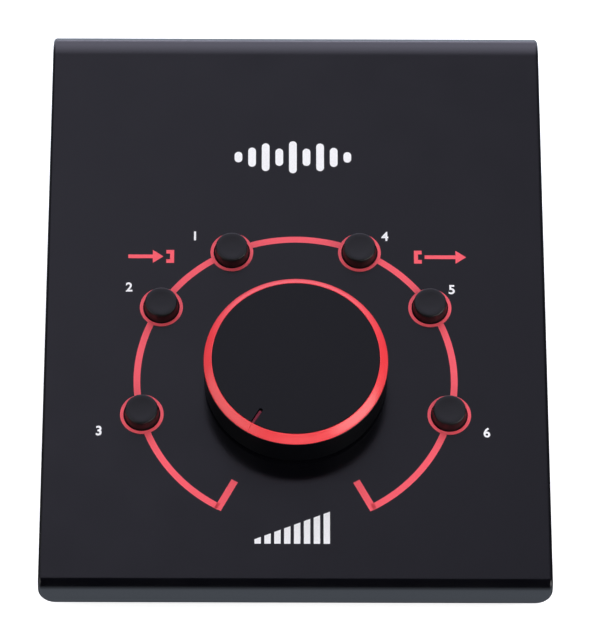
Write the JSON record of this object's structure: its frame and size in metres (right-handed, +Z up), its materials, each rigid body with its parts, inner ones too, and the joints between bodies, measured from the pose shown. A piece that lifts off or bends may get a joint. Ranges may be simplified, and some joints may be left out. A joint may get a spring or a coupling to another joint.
{
  "type": "studio monitor controller",
  "caption": "Wedge-shaped desktop monitor controller: folded steel case with a large volume dial, push buttons on a red arc round it, and audio sockets in the rear wall.",
  "frame": {"origin": "on the desk under the feet, at the middle of the object's overall box", "axes": "+Z up; the low front edge faces -Y and the sockets +Y; +X to the user's right"},
  "size_m": [0.14, 0.1784, 0.0692],
  "materials": {
    "black_paint": "satin black powder coat on folded sheet steel",
    "tray_paint": "matt black powder coat on folded sheet steel",
    "dial_black": "fine-blasted black anodised",
    "dial_red": "smooth red lacquer, semi-gloss",
    "cap_black": "satin moulded",
    "rubber": "matt",
    "zinc": "bright zinc plated",
    "nickel": "bright nickel plated",
    "black_screw": "black zinc plated",
    "board_green": "green solder mask on glass epoxy",
    "socket_black": "satin moulded",
    "plunger_white": "natural moulded",
    "ribbon_grey": "ribbed insulation",
    "print_red": "red screen-printed ink",
    "print_white": "white screen-printed ink"
  },
  "bodies": {
    "case": {"cover": "black_paint", "tray": "tray_paint", "foot_front_left": "rubber", "foot_rear_left": "rubber", "foot_front_right": "rubber", "foot_rear_right": "rubber", "tray_screw_front_left": "black_screw", "tray_screw_rear_left": "black_screw", "tray_screw_front_right": "black_screw", "tray_screw_rear_right": "black_screw", "pot_case": "zinc", "pot_nut": "zinc", "channel_swap_switch": "socket_black", "input_select_switch": "socket_black", "mute_switch": "socket_black", "output_a_switch": "socket_black", "output_b_switch": "socket_black", "mono_switch": "socket_black", "control_board": "board_green", "board_screw_front_left": "zinc", "board_screw_rear_left": "zinc", "board_screw_front_right": "zinc", "board_screw_rear_right": "zinc", "control_header": "socket_black", "jack_board": "board_green", "input_a_left_socket": "socket_black", "input_a_left_nut": "socket_black", "input_a_right_socket": "socket_black", "input_a_right_nut": "socket_black", "output_a_left_socket": "socket_black", "output_a_left_nut": "socket_black", "output_a_right_socket": "socket_black", "output_a_right_nut": "socket_black", "output_b_left_socket": "socket_black", "output_b_left_nut": "socket_black", "output_b_right_socket": "socket_black", "output_b_right_nut": "socket_black", "phono_block": "socket_black", "phono_sleeve_lower": "nickel", "phono_sleeve_upper": "nickel", "mini_jack": "socket_black", "mini_jack_nut": "nickel", "jack_header": "socket_black", "ribbon_cable": "ribbon_grey"},
    "dial": {"dial_body": "dial_black", "dial_ring": "dial_red", "dial_cap": "dial_black", "pot_shaft": "nickel"},
    "channel_swap_button": {"channel_swap_cap": "cap_black", "channel_swap_plunger": "plunger_white"},
    "input_select_button": {"input_select_cap": "cap_black", "input_select_plunger": "plunger_white"},
    "mute_button": {"mute_cap": "cap_black", "mute_plunger": "plunger_white"},
    "output_a_button": {"output_a_cap": "cap_black", "output_a_plunger": "plunger_white"},
    "output_b_button": {"output_b_cap": "cap_black", "output_b_plunger": "plunger_white"},
    "mono_button": {"mono_cap": "cap_black", "mono_plunger": "plunger_white"}
  },
  "joints": [
    {"name": "dial_turn", "type": "hinge", "parent": "case", "child": "dial", "pos_m": [0, -0.031, 0.03297], "axis": [0, 0.342, -0.9397], "range_deg": [0, 298]},
    {"name": "channel_swap_press", "type": "slide", "parent": "case", "child": "channel_swap_button", "axis": [0, 0.342, -0.9397], "range_m": [0, 0.0025], "stiffness_N_per_m": 600, "springref_m": -0.0005},
    {"name": "input_select_press", "type": "slide", "parent": "case", "child": "input_select_button", "axis": [0, 0.342, -0.9397], "range_m": [0, 0.0025], "stiffness_N_per_m": 600, "springref_m": -0.0005},
    {"name": "mute_press", "type": "slide", "parent": "case", "child": "mute_button", "axis": [0, 0.342, -0.9397], "range_m": [0, 0.0025], "stiffness_N_per_m": 600, "springref_m": -0.0005},
    {"name": "output_a_press", "type": "slide", "parent": "case", "child": "output_a_button", "axis": [0, 0.342, -0.9397], "range_m": [0, 0.0025], "stiffness_N_per_m": 600, "springref_m": -0.0005},
    {"name": "output_b_press", "type": "slide", "parent": "case", "child": "output_b_button", "axis": [0, 0.342, -0.9397], "range_m": [0, 0.0025], "stiffness_N_per_m": 600, "springref_m": -0.0005},
    {"name": "mono_press", "type": "slide", "parent": "case", "child": "mono_button", "axis": [0, 0.342, -0.9397], "range_m": [0, 0.0025], "stiffness_N_per_m": 600, "springref_m": -0.0005}
  ]
}
